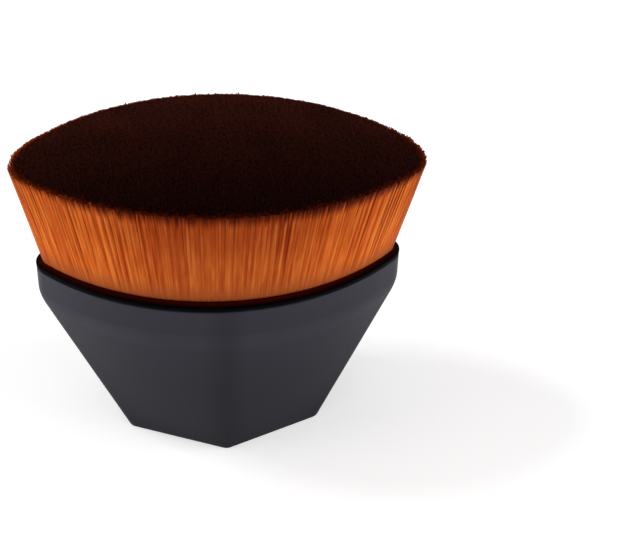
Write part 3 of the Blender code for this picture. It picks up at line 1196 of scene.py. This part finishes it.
@dataclass(frozen=True)
class BristleHead:
    """Flat-topped head: straight strands that spread from the cup's mouth to a wide petal.

    Clumps, tufts and clouds are three sizes of unevenness. The tints are how much each of
    them, and chance, changes a strand's colour.
    """

    form: HandleForm
    finish: DippedFibre = DippedFibre()
    mesher: StrandMesher = StrandMesher()
    outer: StrandKind = StrandKind(
        4, 0.15 * MM, 0.22, (0, 0.15 * MM, 0.3 * MM, 0.45 * MM), (0.3, 0.65)
    )
    inner: StrandKind = StrandKind(3, 0.1 * MM, 1, (), (0.12,))
    petal: Petal = Petal(30.15 * MM, 17.5 * MM, 7.9 * MM)
    height: float = 46.5 * MM
    drop_at_ends: float = 3.3 * MM
    drop_at_sides: float = 2.0 * MM
    tilt: float = 0.3 * MM
    yaw: float = -0.92 * MM
    neck: Petal = Petal(26.5 * MM, 12.7 * MM, 2.7 * MM)
    root_inset: float = 1.85 * MM
    spread_height: float = 0.45 * MM
    foot_height: float = 24.8 * MM
    least_share: float = -0.1
    least_width: float = 0.01 * MM
    outer_rows: int = 8
    outer_pitch: float = 0.15 * MM
    inner_pitch: float = 0.185 * MM
    inner_pieces: int = 5
    jitter: float = 0.35
    twist: float = 0.08
    radius_span: Span = (0.82, 1.18)
    foot_radius_share: float = 0.72
    swell_rate: float = 1.4
    tip_radius_share: float = 0.7
    taper_length: float = 1.0 * MM
    dip_length: float = 0.55 * MM
    end_dip_length: float = -0.7 * MM
    dip_slant: float = 0.35 * MM
    inner_dip_length: float = 2.0 * MM
    dip_depth: float = 1.8 * MM
    dip_spread: float = 0.245 * MM
    dip_softness: float = 3.0 * MM
    root_length: float = 0.3 * MM
    root_spread: float = 0.12 * MM
    root_softness: float = 1.1 * MM
    share_limit: float = 8
    uneven_tips: float = 0.16 * MM
    tip_chances: Span = (1.3, 2.6)
    tall_share: float = 0.012
    tall_reach: float = 0.35 * MM
    stray_shift: float = 0.07 * MM
    clump_shift: float = 0.07 * MM
    tuft_shift: float = 0.0315 * MM
    pull_rate: float = 1.6
    own_tint: float = 0.02
    tuft_tint: float = 0.13
    clump_tint: float = 0.10
    cloud_tint: float = 0.05
    clumps: Ripples = Ripples(0.6 * MM, 1.6 * MM, 60, 11)
    tufts: Ripples = Ripples(0.35 * MM, 0.8 * MM, 60, 12)
    clouds: Ripples = Ripples(5 * MM, 14 * MM, 24, 13)
    seed: int = 7

    def crown(self, places: np.ndarray) -> np.ndarray:
        """Height of the crowned top: it drops with the square of x and of y, and tilts a little."""
        along = places[:, 0] / self.petal.half_length
        across = places[:, 1] / self.petal.half_width
        drop = self.drop_at_ends * along**2 + self.drop_at_sides * across**2
        return self.height - drop + self.tilt * along

    def turned(self, places: np.ndarray) -> np.ndarray:
        """Places moved across in step with x, as the head sits a little turned on the handle."""
        along = places[:, 0] / self.petal.half_length
        return places + np.stack([np.zeros_like(along), self.yaw * along], axis=1)

    def dip_lengths(self, places: np.ndarray, inset: np.ndarray) -> np.ndarray:
        """Mean length of the dark dip, without each strand's own scatter.

        On the outside it shrinks with the fourth power of x from the middle to the ends, and
        slants a little. Further in it eases to the inner length.

        Args:
            places: (x, y) places on the top petal.
            inset: how far inside the petal each place lies.

        Returns:
            The length of each strand's dip.
        """
        along = places[:, 0] / self.petal.half_length
        outside = self.dip_length + (self.end_dip_length - self.dip_length) * along**4
        outside += self.dip_slant * along
        inward = smooth_step(inset / self.dip_depth)
        return outside + (self.inner_dip_length - outside) * inward

    def outline_place(self, places: np.ndarray, outline: Petal, inset: float) -> np.ndarray:
        """Carries places from the top petal to a lower outline.

        Along X a place keeps its share of the half length, and across it keeps its share of
        the half width there, so that outline goes to outline.

        Args:
            places: (x, y) places on the top petal.
            outline: the lower outline.
            inset: how far it is drawn in.

        Returns:
            The (x, y) places within it.
        """
        x = places[:, 0] * (outline.half_length - inset) / self.petal.half_length
        top_width = np.maximum(self.petal.half_width_at(places[:, 0], 0), self.least_width)
        share = np.clip(places[:, 1] / top_width, -1, 1)
        return np.stack([x, share * outline.half_width_at(x, inset)], axis=1)

    def outer_places(self, draw: np.random.Generator) -> tuple[np.ndarray, np.ndarray]:
        """Plans the strands of the outer rows.

        Each row follows the petal drawn in by one more pitch, with equal steps round it
        and a random part of a step added.

        Args:
            draw: the random numbers.

        Returns:
            The (x, y) places and each strand's row number.
        """
        places, rows = [], []
        for row in range(self.outer_rows):
            inset = (row + 0.5) * self.outer_pitch
            count = round(self.petal.perimeter(inset) / self.outer_pitch)
            steps = np.arange(count) + draw.uniform(-self.jitter, self.jitter, count)
            places.append(self.petal.around((steps + 0.5 * (row % 2)) / count, inset))
            rows.append(np.full(count, row))
        return np.concatenate(places), np.concatenate(rows)

    def inner_places(self, draw: np.random.Generator) -> np.ndarray:
        """Plans the strands inside the outer rows.

        They stand on a triangular grid, each moved by a random part of its pitch, and those
        outside the petal drawn in by the outer rows are left out.

        Args:
            draw: the random numbers.

        Returns:
            The (x, y) places.
        """
        inset = self.outer_rows * self.outer_pitch
        rise = self.inner_pitch * math.sqrt(3) / 2
        columns = np.arange(-self.petal.half_length, self.petal.half_length, self.inner_pitch)
        lines = np.arange(-self.petal.half_width, self.petal.half_width, rise)
        x = columns[None] + (np.arange(len(lines)) % 2)[:, None] * self.inner_pitch / 2
        grid = np.stack([x, np.broadcast_to(lines[:, None], x.shape)], axis=-1).reshape(-1, 2)
        grid = grid + draw.uniform(-self.jitter, self.jitter, grid.shape) * self.inner_pitch
        return grid[np.abs(grid[:, 1]) < self.petal.half_width_at(grid[:, 0], inset)]

    def paths(self, places: np.ndarray, kind: StrandKind,
              draw: np.random.Generator) -> tuple[np.ndarray, np.ndarray]:
        """Runs a path up each strand.

        A strand is a straight line from its neck place at the flange's top to its place in
        the top petal. Below the flange it stands inside the cup, and it eases out onto the
        line over the spread height. Clumping and stray shifts grow from the neck up. Most
        tips lie a little under the crown, and a few stand over it.

        Args:
            places: (x, y) places on the top petal.
            kind: the strands' kind.
            draw: the random numbers.

        Returns:
            The paths (strands, levels, 3) and each strand's length above the flange.
        """
        count = len(places)
        base = self.form.flange_top
        tip = self.crown(places) - self.uneven_tips * draw.beta(*self.tip_chances, count)
        tip += (draw.random(count) < self.tall_share) * draw.uniform(0, self.tall_reach, count)
        length = tip - base
        rise = np.concatenate([
            np.tile((self.foot_height - base, *kind.spread_levels), (count, 1)),
            length[:, None] * kind.level_shares,
            np.stack([length - self.taper_length, length], axis=1),
        ], axis=1)
        share = np.clip(rise / length[:, None], self.least_share, 1)[..., None]
        neck = self.outline_place(places, self.neck, 0)
        root = self.outline_place(places, self.form.mouth, self.root_inset)
        line = neck[:, None] + share * (self.turned(places) - neck)[:, None]
        eased = smooth_step(rise / self.spread_height)[..., None]
        stray = draw.normal(0, self.stray_shift, (count, 1, 2)) * share**2
        bunch = self.clump_shift * self.clumps.gather(places)
        bunch = bunch + self.tuft_shift * self.tufts.gather(places)
        pulled = bunch[:, None] * smooth_step(self.pull_rate * share)
        across = root[:, None] * (1 - eased) + line * eased + stray + pulled
        return np.concatenate([across, (base + rise)[..., None]], axis=-1), length

    def strands(self, places: np.ndarray, kind: StrandKind,
                draw: np.random.Generator) -> StrandSet:
        """Makes strands with their thickness, heading, tint, dipped tip and glued root.

        A flat strand lies along the outline, a round one is turned by chance. A strand swells
        from its foot up and is thinner in the upper half of its taper. Its dip and root
        shares are a half where the dip and the glue end.

        Args:
            places: (x, y) places on the top petal.
            kind: the strands' kind.
            draw: the random numbers.

        Returns:
            The strands.
        """
        count = len(places)
        spoke, inset = self.petal.spokes(places)
        turns = np.arctan2(spoke[:, 1], spoke[:, 0]) + TURN / 4
        turns = turns + self.twist * draw.normal(0, 1, count)
        paths, length = self.paths(places, kind, draw)
        rise = paths[..., 2] - self.form.flange_top
        from_tip = length[:, None] - rise
        swollen = np.clip(rise / length[:, None] * self.swell_rate, 0, 1)
        swell = self.foot_radius_share + (1 - self.foot_radius_share) * swollen
        taper = np.where(from_tip < self.taper_length / 2, self.tip_radius_share, 1)
        radii = kind.radius * draw.uniform(*self.radius_span, count)[:, None] * swell * taper
        clump, tuft = self.clumps.value(places), self.tufts.value(places)
        tint = 0.5 + self.own_tint * draw.normal(0, 1, count) + self.tuft_tint * tuft
        tint += self.clump_tint * clump + self.cloud_tint * self.clouds.value(places)
        scatter = self.dip_spread * (draw.normal(0, 1, count) + clump)
        dip_length = self.dip_lengths(places, inset) + scatter
        dip = (dip_length[:, None] - from_tip) / self.dip_softness + 0.5
        root_length = self.root_length + self.root_spread * draw.normal(0, 1, count)
        root = (root_length[:, None] - rise) / self.root_softness + 0.5
        if kind.flatness == 1:
            turns = draw.uniform(0, TURN, count)
        limit = self.share_limit
        return StrandSet(kind, paths, radii, turns, np.clip(tint, 0, 1),
                         np.clip(dip, -limit, limit), np.clip(root, -limit, limit))

    def build(self) -> None:
        """Builds the outer rows, front and back, and the inner strands.

        All the pieces stand for the CAD tuft together.
        """
        draw = np.random.default_rng(self.seed)
        places, rows = self.outer_places(draw)
        outer = self.strands(places, self.outer, draw)
        inner = self.strands(self.inner_places(draw), self.inner, draw)
        half = self.outer_rows // 2
        groups = {}
        for side in Side:
            facing = places[:, 1] * side.value > 0
            for label, deep in (("outer", rows < half), ("second", rows >= half)):
                groups[f"bristles_{label}_{side.name.lower()}"] = outer.chosen(facing & deep)
        for number in range(self.inner_pieces):
            chosen = inner.chosen(slice(number, None, self.inner_pieces))
            groups[f"bristles_inner_{number + 1}"] = chosen
        material = self.finish.material()
        for name, strands in groups.items():
            piece = tied_piece(name, self.mesher.mesh(name, strands, material))
            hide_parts("bristle_tuft")


# Studio


@dataclass(frozen=True)
class PhotoCamera:
    """Camera at the photograph's viewing angle, found from the outlines' perspective."""

    turn: float = -8.19
    elevation: float = 35.8
    roll: float = 2.49
    distance: float = 205.0 * MM
    focal_pixels: float = 1344.28
    slide: float = 15.24 * MM
    lift: float = -0.87 * MM
    aim_height: float = 25.0 * MM
    image_width: int = 640
    sensor: float = 36.0
    clip: Span = (0.01, 20)

    def place(self) -> None:
        """Adds the camera and makes it the scene's.

        It is turned about Z, raised from the level, slid, lifted and drawn back along its own
        axes, and rolled last.
        """
        lens = bpy.data.cameras.new("photo_camera")
        lens.sensor_width = self.sensor
        lens.lens = self.focal_pixels / self.image_width * self.sensor
        lens.clip_start, lens.clip_end = self.clip
        turn, elevation, roll = np.radians([self.turn, self.elevation, self.roll])
        camera = added("photo_camera", lens)
        camera.matrix_world = (
            Matrix.Translation((0, 0, self.aim_height))
            @ Matrix.Rotation(turn, 4, "Z") @ Matrix.Rotation(math.pi / 2 - elevation, 4, "X")
            @ Matrix.Translation((self.slide, self.lift, self.distance))
            @ Matrix.Rotation(roll, 4, "Z")
        )
        bpy.context.scene.camera = camera


@dataclass(frozen=True)
class Softbox:
    """Square area lamp that looks at the middle of the brush."""

    name: str
    spot: tuple[float, float, float]
    size: float
    power: float

    def place(self, aim: Vector) -> None:
        """Adds the lamp, turned to its aim."""
        lamp = bpy.data.lights.new(self.name, "AREA")
        lamp.shape = "SQUARE"
        lamp.size = self.size
        lamp.energy = self.power
        box = added(self.name, lamp)
        box.location = self.spot
        box.rotation_euler = (aim - Vector(self.spot)).to_track_quat("-Z", "Y").to_euler()


@dataclass(frozen=True)
class Studio:
    """White floor, an even white room and three softboxes."""

    floor_half_size: float = 3.0
    floor: StudioFloor = StudioFloor()
    room_light: float = 0.58
    aim: tuple[float, float, float] = (0, 0, 0.025)
    boxes: tuple[Softbox, ...] = (
        Softbox("key_softbox", (-0.5, 0.18, 0.8), 0.15, 2.6),
        Softbox("left_softbox", (-0.8, -0.03, 0.12), 0.4, 3.6),
        Softbox("right_softbox", (0.8, -0.18, 0.3), 0.5, 3.7),
    )

    def build(self) -> None:
        """Builds the floor, the room and the lamps."""
        half = self.floor_half_size
        mesh = bpy.data.meshes.new("floor")
        mesh.from_pydata(
            [(-half, -half, 0), (half, -half, 0), (half, half, 0), (-half, half, 0)],
            [], [(0, 1, 2, 3)],
        )
        mesh.materials.append(self.floor.material())
        floor = added("floor", mesh)
        self.build_room()
        for box in self.boxes:
            box.place(Vector(self.aim))

    def build_room(self) -> None:
        """Lights the room evenly, and shows it to the camera as white."""
        world = bpy.data.worlds.new("white_room")
        world.use_nodes = True
        tree = world.node_tree
        tree.nodes.clear()
        kinds = ("LightPath", "Background", "Background", "MixShader", "OutputWorld")
        rays, lit, seen, mixed, output = (tree.nodes.new(f"ShaderNode{kind}") for kind in kinds)
        lit.inputs["Strength"].default_value = self.room_light
        seen.inputs["Color"].default_value = (1, 1, 1, 1)
        for start, end in (
            (rays.outputs["Is Camera Ray"], mixed.inputs[0]), (lit.outputs[0], mixed.inputs[1]),
            (seen.outputs[0], mixed.inputs[2]), (mixed.outputs[0], output.inputs["Surface"]),
        ):
            tree.links.new(start, end)
        bpy.context.scene.world = world


def dress_hidden_nodes() -> None:
    """Gives the resin and the adhesive, which keep their CAD meshes, their own finishes."""
    for node, finish in (("resin_bed", CastResin()), ("glue_bead", SetAdhesive())):
        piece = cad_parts[node]
        for slot in piece.material_slots:
            slot.material = finish.material()
        LOG.info("%s: dressed as %s", node, finish.name)


def main() -> None:
    """Builds the brush from the foot up, and then the studio round it."""
    logging.basicConfig(level=logging.INFO, format="%(message)s")
    form = HandleForm()
    HandleShell(form).build()
    BristleCup(form).build()
    dress_hidden_nodes()
    RootBundle(form).build()
    BristleHead(form).build()
    Studio().build()
    PhotoCamera().place()
    bpy.context.scene.view_settings.view_transform = "Standard"


if __name__ == "__main__":
    main()
